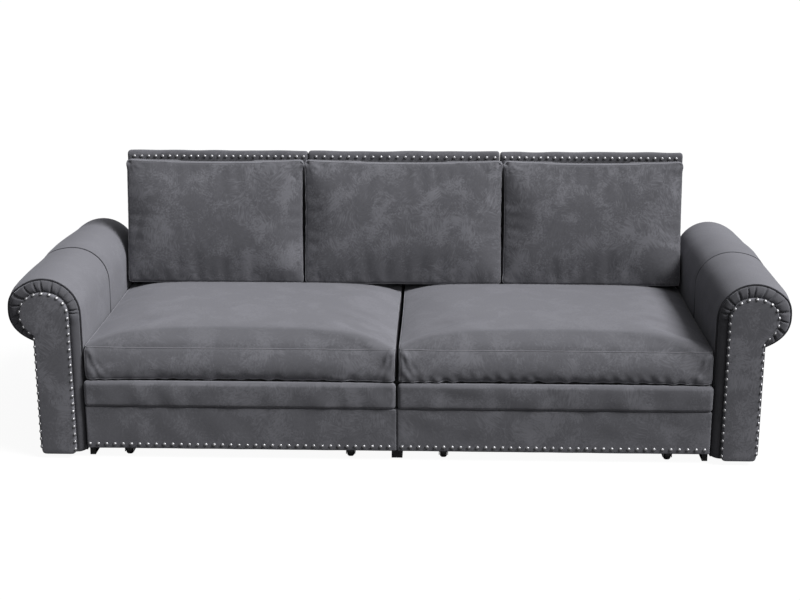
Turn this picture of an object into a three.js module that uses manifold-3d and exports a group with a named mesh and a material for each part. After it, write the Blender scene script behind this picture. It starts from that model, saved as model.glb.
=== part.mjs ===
// A two-seat sleeper sofa with rolled arms. Under each seat a padded bed unit rolls out on casters,
// and the three loose back cushions lift off to be laid on it.
// Millimetres, +Z up. The front faces -Y, and left and right are as seen from the front.
// The origin is on the floor, under the middle of the sofa.

import * as THREE from 'three';
import { mergeVertices } from 'three/addons/utils/BufferGeometryUtils.js';
import Module from 'manifold-3d';

const wasm = await Module();
wasm.setup();

// Driving sizes of the whole sofa
const overallWidth = 2540;
const overallDepth = 940;
const armWidth = 236;
const armHeight = 609;
const backHeight = 881;
const seatDeckHeight = 270;
const hemHeight = 15;

// Clearances: between pieces that touch, and between pieces that slide
const fitGap = 0.3;
const slideGap = 0.7;

// Boards and rails
const boardThickness = 18;
const boardSetback = 42;
const boardArmGap = 4;
const deckThickness = 12;
const deckSetback = 46;
const rearRailHeight = 190;

// Rolled arms, with a keyhole plaque on a padded front
const armSetback = 40;
const armBodyWidth = 158;
const rollEndDegrees = -58;
const armArcSteps = 18;
const plaqueThickness = 22;
const plaqueWidth = 114;
const plaqueRadius = 79;
const plaqueShift = 5;
const plaqueRise = 6;
const plaqueEdge = 3;
const frontPadInset = 3;
const frontPadRound = 8;

// Nail rows: each is a trim strip with one stud to a pitch
const nailWidth = 12;
const nailHeight = 5;
const nailBand = 1.5;
const armNailPitch = 27;
const armNailSetback = 3;
const panelNailPitch = 27.7;
const panelNailLift = 16;
const backNailPitch = 27;
const backNailDrop = 15;
const nailRowInset = 12;

// Back sections
const backArmGap = 4;
const backCentreWidth = 710;
const backSplit = 3;
const backThickness = 80;
const backSetIn = 10;
const backFrontRound = 14;
const backRearRound = 30;
const backSideRound = 10;

// Pull-out bed units
const panelSetback = 12;
const panelLift = 34;
const panelHeight = 147;
const panelThickness = 28;
const panelRound = 6;
const panelSideGap = 3;
const centreSeam = 2;
const bolsterProud = 6;
const bolsterSideGap = 2;
const bolsterCentreGap = 7;
const bolsterRound = 15;
const unitRearGap = 12;
const padClearance = 3;
const padInset = 4;
const padRound = 12;
const platformThickness = 12;
const platformHeight = 165;
const crossRailWidth = 60;

// Casters
const wheelRadius = 20;
const wheelWidth = 24;
const wheelRound = 9;
const wheelSides = 16;
const wheelSideGap = 1;
const axleRadius = 3;
const forkThickness = 2.5;
const forkLip = 8;
const forkDepth = 28;
const casterHeight = 47;
const casterSetback = 56;
const casterInnerInset = 136;
const casterOuterInset = 114;

// Seat cushions
const seatCushionSetback = 17;
const seatCushionGap = 8;
const seatCushionSideGap = 3;
const seatSeamHeight = 110;
const seatCrown = 38;
const seatCornerRadius = 40;
const seatDrawIn = 7;
const seatCrownShares = [[1, 0], [0.97, 0.4], [0.91, 0.74], [0.82, 0.94], [0.72, 1]];

// Back cushions
const backCushionArmGap = 10;
const backCushionCentreWidth = 728;
const backCushionGap = 4;
const backCushionHeight = 444;
const backCushionFootThickness = 118;
const backCushionTopThickness = 32;
const backCushionCrown = 20;
const backCushionRearCrown = 14;
const backCushionCornerRadius = 34;
const backCushionTopDrawIn = 16;
const backCushionSideDrawIn = 7;
const backCushionSeat = 1;
const backCrownShares = [[1, 0], [0.95, 0.42], [0.85, 0.72], [0.66, 0.92], [0.4, 1]];

// Shares of a soft edge: how far a padded block's edge draws in, and how a cushion's boxing bulges
const bevelShare = 0.8;
const boxingShares = [[0.975, 0.06], [1, 0.3], [1, 0.7], [0.99, 0.93]];
const underShare = 0.93;
const neckShare = 1;

// Places that several pieces share
const front = -overallDepth / 2;
const rear = overallDepth / 2;
const armFaceX = overallWidth / 2 - armWidth;
const rollRadius = armWidth / 2;
const rollX = armFaceX + rollRadius;
const rollZ = armHeight - rollRadius;
const panelTop = panelLift + panelHeight;
const panelBackY = front + panelSetback + panelThickness;
const backFaceY = rear - backSetIn - backThickness;
const innerX = fitGap / 2;
const outerX = armFaceX - fitGap;
const boardOuterX = armFaceX - boardArmGap;
const deckBottom = seatDeckHeight - deckThickness;
const boardTop = deckBottom - fitGap;
const unitInnerX = innerX + boardThickness + slideGap;
const unitOuterX = boardOuterX - boardThickness - slideGap;
const unitFrontY = panelBackY + fitGap;
const railRearY = backFaceY - fitGap;
const railFrontY = railRearY - boardThickness;
const unitRearY = railFrontY - unitRearGap;
const seatCushionBottom = seatDeckHeight + fitGap;
const seatTop = seatCushionBottom + seatSeamHeight + seatCrown;

// Finishes
function finish(color, roughness, metalness = 0) {
  return new THREE.MeshStandardMaterial({ color, roughness, metalness });
}
const velvet = finish(0x5b5b60, 0.9);
const velvetLight = finish(0x6a6a6f, 0.9);
const ticking = finish(0x77777b, 0.95);
const blackBoard = finish(0x1b1b1d, 0.6);
const plywood = finish(0xb89a6c, 0.7);
const steel = finish(0x8b8d90, 0.4, 1);
const nickel = finish(0xc9cbce, 0.25, 1);
const blackNylon = finish(0x18181a, 0.5);

const sofa = new THREE.Group();

function addPiece(parent, name, geometry, material) {
  const piece = new THREE.Mesh(geometry, material);
  piece.name = name;
  parent.add(piece);
  return piece;
}

// A square-edged board between two limits on each axis
function addBoard(parent, name, material, [x0, x1], [y0, y1], [z0, z1]) {
  const geometry = new THREE.BoxGeometry(Math.abs(x1 - x0), y1 - y0, z1 - z0);
  const board = addPiece(parent, name, geometry, material);
  board.position.set((x0 + x1) / 2, (y0 + y1) / 2, (z0 + z1) / 2);
  return board;
}

// A rectangle with round corners, centred on the origin
function roundedRectangle(width, height, radius) {
  const x = width / 2 - radius;
  const y = height / 2 - radius;
  const shape = new THREE.Shape();
  shape.absarc(x, y, radius, 0, Math.PI / 2);
  shape.absarc(-x, y, radius, Math.PI / 2, Math.PI);
  shape.absarc(-x, -y, radius, Math.PI, 1.5 * Math.PI);
  shape.absarc(x, -y, radius, 1.5 * Math.PI, 2 * Math.PI);
  return shape;
}

// A shape drawn in X and Z, pushed through from the rear limit to the front one, with its edges rounded
function pushForward(shape, y0, y1, round) {
  const geometry = new THREE.ExtrudeGeometry(shape, {
    depth: y1 - y0 - 2 * round,
    curveSegments: 2,
    bevelEnabled: round > 0,
    bevelThickness: round,
    bevelSize: round * bevelShare,
    bevelOffset: -round * bevelShare,
    bevelSegments: 2,
  });
  geometry.translate(0, 0, round);
  return geometry;
}

function addPushed(parent, name, material, shape, [y0, y1], round) {
  const piece = addPiece(parent, name, pushForward(shape, y0, y1, round), material);
  piece.rotation.x = Math.PI / 2;
  piece.position.y = y1;
  return piece;
}

// A padded block whose edges are all rounded, between two limits on each axis
function addPadded(parent, name, material, [x0, x1], [y0, y1], [z0, z1], round) {
  const shape = roundedRectangle(Math.abs(x1 - x0), z1 - z0, round);
  const block = addPushed(parent, name, material, shape, [y0, y1], round);
  block.position.x = (x0 + x1) / 2;
  block.position.z = (z0 + z1) / 2;
  return block;
}

// A closed mesh from points and faces, turned so that its faces point out
function closedGeometry(points, faces) {
  const geometry = new THREE.BufferGeometry().setFromPoints(points);
  const volume = faces.reduce((sum, [a, b, c]) => {
    const normal = new THREE.Vector3().crossVectors(points[b], points[c]);
    return sum + points[a].dot(normal);
  }, 0);
  const turned = volume < 0 ? faces.map(([a, b, c]) => [a, c, b]) : faces;
  geometry.setIndex(turned.flat());
  return geometry;
}

// Points on an arc in X and Z, from one angle to another in degrees
function arcPoints(x, z, radius, fromDegrees, toDegrees, steps) {
  return Array.from({ length: steps + 1 }, (_, step) => {
    const angle = THREE.MathUtils.degToRad(THREE.MathUtils.lerp(fromDegrees, toDegrees, step / steps));
    return new THREE.Vector2(x + radius * Math.cos(angle), z + radius * Math.sin(angle));
  });
}

// A keyhole outline on the right arm: up the seat side, over the roll, and down the outer side
function keyholeOutline(x, z, radius, width, steps) {
  const arc = arcPoints(x, z, radius, 180, rollEndDegrees, steps);
  const end = arc[steps];
  const sideX = x - radius + width;
  const neckZ = end.y - Math.max(end.x - sideX, 0) * neckShare;
  return [
    new THREE.Vector2(x - radius, hemHeight),
    ...arc,
    new THREE.Vector2(sideX, neckZ),
    new THREE.Vector2(sideX, hemHeight),
  ];
}

// How far a chord lies inside its arc
function sag(radius, chord) {
  return radius - Math.sqrt(radius ** 2 - (chord / 2) ** 2);
}

function mirrored(outline, side) {
  return outline.map((point) => new THREE.Vector2(side * point.x, point.y));
}

// Where each nail of a row starts, has its middle and ends, along a row of the given length
function nailSteps(length, pitch) {
  const count = Math.max(Math.round((length - nailWidth) / pitch), 1);
  return Array.from({ length: count + 1 }, (_, index) => {
    const start = (index / count) * (length - nailWidth);
    return [start, start + nailWidth / 2, start + nailWidth];
  });
}

// A nail row: a thin band with a pyramid stud to each nail. Each nail holds three spots, for its
// start, its middle and its end, and a spot is a place and the way that the nails face there.
function nailRow(nails, across) {
  const points = [];
  const faces = [];
  const half = across.clone().multiplyScalar(nailWidth / 2);
  const addRing = ({ place, out }) => {
    const top = out.clone().multiplyScalar(nailBand);
    const first = points.length;
    points.push(place.clone().sub(half), place.clone().add(half));
    points.push(place.clone().add(half).add(top), place.clone().sub(half).add(top));
    return [first, first + 1, first + 2, first + 3];
  };
  const addWall = (a, b, c, d) => faces.push([a, b, c], [a, c, d]);
  const addBandWalls = (near, far) => {
    addWall(near[0], far[0], far[1], near[1]);
    addWall(near[1], far[1], far[2], near[2]);
    addWall(near[3], far[3], far[0], near[0]);
  };
  let last = null;
  nails.forEach(([start, middle, end]) => {
    const near = addRing(start);
    const far = addRing(end);
    const tip = points.push(middle.place.clone().addScaledVector(middle.out, nailHeight)) - 1;
    if (last) {
      addBandWalls(last, near);
      addWall(last[2], near[2], near[3], last[3]);
    } else {
      addWall(near[0], near[1], near[2], near[3]);
    }
    addBandWalls(near, far);
    faces.push([near[2], far[2], tip], [far[2], far[3], tip]);
    faces.push([far[3], near[3], tip], [near[3], near[2], tip]);
    last = far;
  });
  addWall(last[0], last[3], last[2], last[1]);
  return closedGeometry(points, faces);
}

// A straight nail row along X on a face that looks to the front
function addStraightNails(parent, name, [x0, x1], faceY, z, pitch) {
  const spotAt = (step) => ({
    place: new THREE.Vector3(x0 + step, faceY - fitGap, z),
    out: new THREE.Vector3(0, -1, 0),
  });
  const nails = nailSteps(x1 - x0, pitch).map((steps) => steps.map(spotAt));
  return addPiece(parent, name, nailRow(nails, new THREE.Vector3(0, 0, 1)), nickel);
}

// The length of an outline, and the spot at a distance along it with the way out of the outline
function outlineLength(outline) {
  return outline.slice(1).reduce((sum, point, index) => sum + point.distanceTo(outline[index]), 0);
}

function spotOnOutline(outline, distance) {
  let edge = 0;
  let left = distance;
  let length = outline[1].distanceTo(outline[0]);
  while (edge < outline.length - 2 && left > length) {
    left -= length;
    edge += 1;
    length = outline[edge + 1].distanceTo(outline[edge]);
  }
  const along = outline[edge + 1].clone().sub(outline[edge]).normalize();
  const place = outline[edge].clone().addScaledVector(along, left);
  return { place, out: new THREE.Vector2(-along.y, along.x) };
}

// Outline of a cushion seen along its thickness: round corners, and sides that draw in between
// them. drawIn holds one value for each side, in the order top, left, bottom and right.
function cushionOutline(width, length, radius, drawIn) {
  const cornerSteps = 2;
  const sideSteps = 6;
  const x = width / 2 - radius;
  const y = length / 2 - radius;
  const corners = [[x, y], [-x, y], [-x, -y], [x, -y]].map(([cx, cy]) => new THREE.Vector2(cx, cy));
  return corners.flatMap((corner, index) => {
    const angle = (turn) => (index + turn) * Math.PI / 2;
    const way = (turn) => new THREE.Vector2(Math.cos(angle(turn)), Math.sin(angle(turn)));
    const arc = Array.from({ length: cornerSteps + 1 }, (_, step) =>
      corner.clone().addScaledVector(way(step / cornerSteps), radius));
    const start = arc[cornerSteps];
    const end = corners[(index + 1) % corners.length].clone().addScaledVector(way(1), radius);
    const side = Array.from({ length: sideSteps - 1 }, (_, step) => {
      const share = (step + 1) / sideSteps;
      const dip = drawIn[index] * (1 - (2 * share - 1) ** 2);
      return start.clone().lerp(end, share).addScaledVector(way(1), -dip);
    });
    return [...arc, ...side];
  });
}

// A closed form from rings of one outline. Each ring is a share of the outline and a function
// that places its points, and the first and last rings close on a middle point.
function ringForm(outline, rings) {
  const place = ({ share, put }) => outline.map((point) => put(point.clone().multiplyScalar(share)));
  const first = rings[0];
  const last = rings[rings.length - 1];
  const middle = new THREE.Vector2();
  const points = [...rings.flatMap(place), first.put(middle), last.put(middle)];
  const size = outline.length;
  const faces = [];
  outline.forEach((_, index) => {
    const next = (index + 1) % size;
    for (let ring = 0; ring < rings.length - 1; ring += 1) {
      const a = ring * size;
      const b = a + size;
      faces.push([a + index, a + next, b + next], [a + index, b + next, b + index]);
    }
    const end = (rings.length - 1) * size;
    faces.push([next, index, points.length - 2], [end + index, end + next, points.length - 1]);
  });
  return closedGeometry(points, faces);
}

// Seat cushion: flat below, boxed sides, and a crown whose middle is level
function seatCushionGeometry(width, depth) {
  const outline = cushionOutline(width, depth, seatCornerRadius, [0, 1, 1, 1].map((k) => k * seatDrawIn));
  const at = (z) => (point) => new THREE.Vector3(point.x, point.y, z);
  const rings = [{ share: underShare, put: at(0) }];
  boxingShares.forEach(([share, height]) => rings.push({ share, put: at(height * seatSeamHeight) }));
  seatCrownShares.forEach(([share, rise]) =>
    rings.push({ share, put: at(seatSeamHeight + rise * seatCrown) }));
  return ringForm(outline, rings);
}

// Back cushion: thick at its foot and thin at its top, with a crown in front and a lower one behind.
// Its rear seam stands in one upright plane at Y zero, and it rests on a flat foot at Z zero.
function backCushionGeometry(width) {
  const height = backCushionHeight;
  const drawIn = [backCushionTopDrawIn, backCushionSideDrawIn, 0, backCushionSideDrawIn];
  const outline = cushionOutline(width, height, backCushionCornerRadius, drawIn);
  const thickness = (z) =>
    THREE.MathUtils.lerp(backCushionFootThickness, backCushionTopThickness, z / height);
  const at = (depthShare, bulge) => (point) => {
    const z = point.y + height / 2;
    return new THREE.Vector3(point.x, bulge - depthShare * thickness(z), z);
  };
  const rings = [];
  [...backCrownShares].reverse().forEach(([share, rise]) =>
    rings.push({ share, put: at(0, rise * backCushionRearCrown) }));
  backCrownShares.forEach(([share, rise]) =>
    rings.push({ share, put: at(1, -rise * backCushionCrown) }));
  return ringForm(outline, rings);
}

// The nails round a plaque, on its side band. They sit clear of the facets of its round head.
function plaqueNails(plaque, side) {
  const facet = plaque[1].distanceTo(plaque[2]);
  const chord = Math.max(nailWidth, armNailPitch - nailWidth);
  const lift = sag(plaqueRadius, chord) + sag(plaqueRadius, facet) + fitGap;
  const nailY = front + plaqueEdge + armNailSetback + nailWidth / 2;
  const spotAt = (step) => {
    const { place, out } = spotOnOutline(plaque, nailRowInset + step);
    place.addScaledVector(out, lift);
    return {
      place: new THREE.Vector3(side * place.x, nailY, place.y),
      out: new THREE.Vector3(side * out.x, 0, out.y),
    };
  };
  const rowLength = outlineLength(plaque) - 2 * nailRowInset;
  return nailSteps(rowLength, armNailPitch).map((steps) => steps.map(spotAt));
}

// Rolled arm, its padded front and the plaque with its nails. The side is -1 on the left.
function addArm(word, side) {
  const arm = new THREE.Group();
  const body = keyholeOutline(rollX, rollZ, rollRadius, armBodyWidth, armArcSteps);
  const pad = keyholeOutline(
    rollX, rollZ, rollRadius - frontPadInset, armBodyWidth - 2 * frontPadInset, armArcSteps);
  const plaque = keyholeOutline(
    rollX - plaqueShift, rollZ + plaqueRise, plaqueRadius, plaqueWidth, armArcSteps);
  const shape = (outline) => new THREE.Shape(mirrored(outline, side));
  const padFrontY = front + plaqueThickness + fitGap;
  const bodyFrontY = front + armSetback;
  addPushed(arm, `arm_${word}`, velvetLight, shape(body), [bodyFrontY, rear], 0);
  addPushed(
    arm, `arm_front_pad_${word}`, velvet, shape(pad), [padFrontY, bodyFrontY - fitGap], frontPadRound);
  addPushed(
    arm, `arm_plaque_${word}`, velvet, shape(plaque), [front, front + plaqueThickness], plaqueEdge);
  const nails = plaqueNails(plaque, side);
  addPiece(arm, `arm_nails_${word}`, nailRow(nails, new THREE.Vector3(0, 1, 0)), nickel);
  sofa.add(arm);
}

// Side boards down to the floor, the rail behind them and the decks on top
function addSeatFrame() {
  const frame = new THREE.Group();
  const boardY = [front + boardSetback, railFrontY - fitGap];
  [['left', -1], ['right', 1]].forEach(([word, side]) => {
    const inner = [side * innerX, side * (innerX + boardThickness)];
    const outer = [side * (boardOuterX - boardThickness), side * boardOuterX];
    addBoard(frame, `side_board_${word}_inner`, blackBoard, inner, boardY, [0, boardTop]);
    addBoard(frame, `side_board_${word}_outer`, blackBoard, outer, boardY, [0, boardTop]);
    const deckY = [front + deckSetback, railRearY];
    const deckX = [side * innerX, side * outerX];
    addBoard(frame, `seat_deck_${word}`, blackBoard, deckX, deckY, [deckBottom, seatDeckHeight]);
  });
  const railZ = [boardTop - rearRailHeight, boardTop];
  addBoard(frame, 'rear_rail', plywood, [-outerX, outerX], [railFrontY, railRearY], railZ);
  sofa.add(frame);
}

// The three back sections are upholstered slabs with round edges, each with a nail row near its top
function backSectionGeometry(width) {
  const frontY = backFaceY;
  const rearY = rear - backSetIn;
  const profile = new THREE.Shape([
    new THREE.Vector2(rearY, hemHeight),
    ...arcPoints(rearY - backRearRound, backHeight - backRearRound, backRearRound, 0, 90, 3),
    ...arcPoints(frontY + backFrontRound, backHeight - backFrontRound, backFrontRound, 90, 180, 2),
    new THREE.Vector2(frontY, hemHeight),
  ]);
  const geometry = new THREE.ExtrudeGeometry(profile, {
    depth: width - 2 * backSideRound,
    bevelThickness: backSideRound,
    bevelSize: backSideRound * bevelShare,
    bevelOffset: -backSideRound * bevelShare,
    bevelSegments: 2,
  });
  geometry.translate(0, 0, backSideRound - width / 2);
  return geometry;
}

function addBack() {
  const span = 2 * (armFaceX - backArmGap);
  const sideWidth = (span - backCentreWidth) / 2 - backSplit;
  const sideX = (span - sideWidth) / 2;
  [['left', -sideX, sideWidth], ['centre', 0, backCentreWidth], ['right', sideX, sideWidth]].forEach(
    ([word, x, width]) => {
      const section = addPiece(sofa, `back_section_${word}`, backSectionGeometry(width), velvet);
      section.rotation.set(Math.PI / 2, Math.PI / 2, 0);
      section.position.x = x;
      const reach = width / 2 - nailRowInset;
      const rowZ = backHeight - backNailDrop - fitGap;
      addStraightNails(sofa, `back_nails_${word}`, [x - reach, x + reach], backFaceY, rowZ, backNailPitch);
    });
}

function addSeatCushions() {
  const width = armFaceX - seatCushionSideGap - seatCushionGap / 2;
  const frontY = front + seatCushionSetback;
  const depth = backFaceY - seatCushionSideGap - frontY;
  [['left', -1], ['right', 1]].forEach(([word, side]) => {
    const cushion = addPiece(
      sofa, `seat_cushion_${word}`, seatCushionGeometry(width, depth), velvetLight);
    cushion.position.set(side * (seatCushionGap + width) / 2, frontY + depth / 2, seatCushionBottom);
  });
}

function addBackCushions() {
  const span = 2 * (armFaceX - backCushionArmGap);
  const sideWidth = (span - backCushionCentreWidth) / 2 - backCushionGap;
  const sideX = (span - sideWidth) / 2;
  const rearSeamY = backFaceY - fitGap - nailHeight - backCushionSeat - backCushionRearCrown;
  [['left', -sideX, sideWidth], ['centre', 0, backCushionCentreWidth], ['right', sideX, sideWidth]]
    .forEach(([word, x, width]) => {
      const cushion = addPiece(sofa, `back_cushion_${word}`, backCushionGeometry(width), velvet);
      cushion.position.set(x, rearSeamY, seatTop + fitGap);
    });
}

// A three.js geometry as a solid for joining, and back
function solidOf(geometry) {
  const bare = geometry.index ? geometry.clone() : geometry;
  bare.deleteAttribute('normal');
  bare.deleteAttribute('uv');
  const merged = mergeVertices(bare);
  return new wasm.Manifold(new wasm.Mesh({
    numProp: 3,
    vertProperties: new Float32Array(merged.attributes.position.array),
    triVerts: new Uint32Array(merged.index.array),
  }));
}

function geometryOf(solid) {
  const mesh = solid.getMesh();
  const geometry = new THREE.BufferGeometry();
  geometry.setAttribute('position', new THREE.BufferAttribute(mesh.vertProperties, 3));
  geometry.setIndex(new THREE.BufferAttribute(mesh.triVerts, 1));
  return geometry;
}

// Caster fork: a bent steel channel with its axle riveted through both cheeks
function forkGeometry() {
  const innerHalf = wheelWidth / 2 + wheelSideGap;
  const outerHalf = innerHalf + forkThickness;
  const top = casterHeight - fitGap;
  const under = top - forkThickness;
  const foot = wheelRadius - forkLip;
  const channel = new THREE.Shape([
    new THREE.Vector2(-outerHalf, foot),
    new THREE.Vector2(-innerHalf, foot),
    new THREE.Vector2(-innerHalf, under),
    new THREE.Vector2(innerHalf, under),
    new THREE.Vector2(innerHalf, foot),
    new THREE.Vector2(outerHalf, foot),
    new THREE.Vector2(outerHalf, top),
    new THREE.Vector2(-outerHalf, top),
  ]);
  const bent = new THREE.ExtrudeGeometry(channel, { depth: forkDepth, bevelEnabled: false });
  bent.rotateX(Math.PI / 2);
  bent.translate(0, forkDepth / 2, 0);
  const axle = new THREE.CylinderGeometry(axleRadius, axleRadius, 2 * outerHalf, 8);
  axle.rotateZ(Math.PI / 2);
  axle.translate(0, 0, wheelRadius);
  return geometryOf(solidOf(bent).add(solidOf(axle)));
}

// Caster wheel, turned about X, with a rounded tread
function wheelGeometry() {
  const bore = axleRadius + fitGap;
  const half = wheelWidth / 2;
  const shoulder = wheelRadius - wheelRound;
  const profile = [
    new THREE.Vector2(bore, -half),
    ...arcPoints(shoulder, wheelRound - half, wheelRound, -90, 0, 2),
    ...arcPoints(shoulder, half - wheelRound, wheelRound, 0, 90, 2),
    new THREE.Vector2(bore, half),
    new THREE.Vector2(bore, -half),
  ];
  const geometry = new THREE.LatheGeometry(profile, wheelSides);
  geometry.rotateZ(Math.PI / 2);
  return geometry;
}

function addCaster(unit, word, x, y) {
  const fork = addPiece(unit, `caster_fork_${word}`, forkGeometry(), steel);
  fork.position.set(x, y, 0);
  const wheel = addPiece(unit, `caster_wheel_${word}`, wheelGeometry(), blackNylon);
  wheel.position.set(x, y, wheelRadius);
}

// One pull-out bed unit: the upholstered front, and the pad on its box with four casters
function addBedUnit(word, side) {
  const unit = new THREE.Group();
  const spanX = (inner, outer) => [side * inner, side * outer];
  const frontX = spanX(centreSeam / 2, armFaceX - panelSideGap);
  const frontY = [front + panelSetback, panelBackY];
  addPadded(unit, `bed_front_${word}`, velvet, frontX, frontY, [panelLift, panelTop], panelRound);
  const nailX = spanX(centreSeam / 2 + nailRowInset, armFaceX - panelSideGap - nailRowInset);
  const rowX = [Math.min(...nailX), Math.max(...nailX)];
  const rowZ = panelLift + panelNailLift;
  addStraightNails(unit, `bed_front_nails_${word}`, rowX, frontY[0], rowZ, panelNailPitch);
  const bolsterX = spanX(bolsterCentreGap / 2, armFaceX - bolsterSideGap);
  const bolsterY = [frontY[0] - bolsterProud, panelBackY];
  const bolsterZ = [panelTop + fitGap, seatDeckHeight - slideGap];
  addPadded(unit, `bed_bolster_${word}`, velvet, bolsterX, bolsterY, bolsterZ, bolsterRound);

  const railZ = [casterHeight, platformHeight - fitGap];
  const railY = [unitFrontY, unitRearY];
  const innerRail = spanX(unitInnerX, unitInnerX + boardThickness);
  const outerRail = spanX(unitOuterX - boardThickness, unitOuterX);
  addBoard(unit, `bed_side_rail_${word}_inner`, plywood, innerRail, railY, railZ);
  addBoard(unit, `bed_side_rail_${word}_outer`, plywood, outerRail, railY, railZ);
  const crossX = spanX(unitInnerX + boardThickness + fitGap, unitOuterX - boardThickness - fitGap);
  const crossZ = [casterHeight, casterHeight + boardThickness];
  const frontRail = [unitFrontY, unitFrontY + crossRailWidth];
  const rearRail = [unitRearY - crossRailWidth, unitRearY];
  addBoard(unit, `bed_cross_rail_${word}_front`, plywood, crossX, frontRail, crossZ);
  addBoard(unit, `bed_cross_rail_${word}_rear`, plywood, crossX, rearRail, crossZ);

  const platformTop = platformHeight + platformThickness;
  const platformX = spanX(unitInnerX, unitOuterX);
  addBoard(unit, `bed_platform_${word}`, plywood, platformX, railY, [platformHeight, platformTop]);
  const padX = spanX(unitInnerX + padInset, unitOuterX - padInset);
  const padZ = [platformTop + fitGap, deckBottom - padClearance];
  addPadded(unit, `bed_pad_${word}`, ticking, padX, [unitFrontY, unitRearY - padInset], padZ, padRound);

  [['front', front + casterSetback], ['rear', unitRearY - crossRailWidth / 2]].forEach(([end, y]) => {
    addCaster(unit, `${word}_${end}_inner`, side * (unitInnerX + casterInnerInset), y);
    addCaster(unit, `${word}_${end}_outer`, side * (unitOuterX - casterOuterInset), y);
  });
  sofa.add(unit);
}

[['left', -1], ['right', 1]].forEach(([word, side]) => {
  addArm(word, side);
  addBedUnit(word, side);
});
addSeatFrame();
addBack();
addSeatCushions();
addBackCushions();

sofa.name = 'sleeper_sofa';
export default sofa;
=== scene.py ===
# A two-seat sleeper sofa in grey velvet, with rolled arms, nail trim and bed units on casters.
# Metres, +Z up. The front faces -Y, and left and right are as seen from the front.
import math

import bmesh
import bpy
import numpy as np
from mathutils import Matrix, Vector
from mathutils.bvhtree import BVHTree
from mathutils.kdtree import KDTree


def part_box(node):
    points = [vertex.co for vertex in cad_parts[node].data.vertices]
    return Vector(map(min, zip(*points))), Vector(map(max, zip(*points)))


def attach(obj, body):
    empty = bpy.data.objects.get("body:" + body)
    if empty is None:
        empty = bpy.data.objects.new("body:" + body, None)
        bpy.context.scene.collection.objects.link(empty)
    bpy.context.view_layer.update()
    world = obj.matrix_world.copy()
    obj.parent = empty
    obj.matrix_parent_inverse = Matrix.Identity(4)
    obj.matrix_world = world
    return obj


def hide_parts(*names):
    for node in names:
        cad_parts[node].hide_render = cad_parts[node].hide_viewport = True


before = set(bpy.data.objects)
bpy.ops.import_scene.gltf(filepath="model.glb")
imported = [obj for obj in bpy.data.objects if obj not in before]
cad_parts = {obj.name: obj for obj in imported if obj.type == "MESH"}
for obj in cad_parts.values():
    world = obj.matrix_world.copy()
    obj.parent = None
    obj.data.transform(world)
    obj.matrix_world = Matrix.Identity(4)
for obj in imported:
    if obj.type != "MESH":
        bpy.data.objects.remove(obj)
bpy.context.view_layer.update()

# Camera, floor and light
# The camera looks slightly down from in front of the sofa, a little right of its middle.
# The floor is one plain pale sheet. A wide soft lamp stands high on the right, under a pale sky.
camera_place = (0.1439, -4.98305, 1.85236)
camera_pitch_degrees = 74.0215
camera_turn_degrees = 1.684
camera_lens = 65.925
camera_sensor = 36
sky_strength = 0.58
sky_slant = (0.8, -0.2, -0.45)
lamp_way = (0.6, -0.27, 0.75)
lamp_strength = 4.85
lamp_spread_degrees = 22
floor_half_width = 60
floor_white = 0.9
floor_bounce = 0.08
floor_glow_share = 0.94

scene = bpy.context.scene
scene.view_settings.view_transform = "Standard"


def add_object(name, data):
    item = bpy.data.objects.new(name, data)
    scene.collection.objects.link(item)
    return item


camera = add_object("camera", bpy.data.cameras.new("camera"))
camera.location = camera_place
camera.rotation_euler = (math.radians(camera_pitch_degrees), 0, math.radians(camera_turn_degrees))
camera.data.lens = camera_lens
camera.data.sensor_width = camera_sensor
scene.camera = camera

lamp = add_object("lamp", bpy.data.lights.new("lamp", "SUN"))
lamp.rotation_euler = Vector(lamp_way).to_track_quat("Z", "Y").to_euler()
lamp.data.energy = lamp_strength
lamp.data.angle = math.radians(lamp_spread_degrees)


def add_node(tree, kind, inputs=None, **settings):
    """A shader node, with its inputs given by name or number as values or as other sockets."""
    node = tree.nodes.new(kind)
    for key, value in settings.items():
        setattr(node, key, value)
    for key, value in (inputs or {}).items():
        if isinstance(value, bpy.types.NodeSocket):
            tree.links.new(value, node.inputs[key])
        else:
            node.inputs[key].default_value = value
    return node


def sum_node(tree, operation, *values):
    """The result of one sum in a shader tree."""
    return add_node(tree, "ShaderNodeMath", dict(enumerate(values)), operation=operation).outputs[0]


sky = bpy.data.worlds.new("sky")
sky.use_nodes = True
scene.world = sky
seen = add_node(sky.node_tree, "ShaderNodeLightPath").outputs["Is Camera Ray"]
way = add_node(sky.node_tree, "ShaderNodeTexCoord").outputs["Generated"]
slant = add_node(sky.node_tree, "ShaderNodeVectorMath", {0: way, 1: sky_slant}, operation="DOT_PRODUCT")
slanted = sum_node(sky.node_tree, "MULTIPLY_ADD", slant.outputs["Value"], sky_strength, sky_strength)
rest_of_white = sum_node(sky.node_tree, "SUBTRACT", 1.0, slanted)
sky_light = sum_node(sky.node_tree, "MULTIPLY_ADD", seen, rest_of_white, slanted)
sky.node_tree.nodes["Background"].inputs["Color"].default_value = (1, 1, 1, 1)
sky.node_tree.links.new(sky_light, sky.node_tree.nodes["Background"].inputs["Strength"])


def new_material(name):
    """An empty material and its tree."""
    material = bpy.data.materials.new(name)
    material.use_nodes = True
    material.node_tree.nodes.clear()
    return material, material.node_tree


def new_piece(name, points, faces):
    """A smooth mesh object from points and faces."""
    mesh = bpy.data.meshes.new(name)
    mesh.from_pydata(np.asarray(points, float).tolist(), [], [list(map(int, f)) for f in faces])
    mesh.shade_smooth()
    return add_object(name, mesh)


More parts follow.
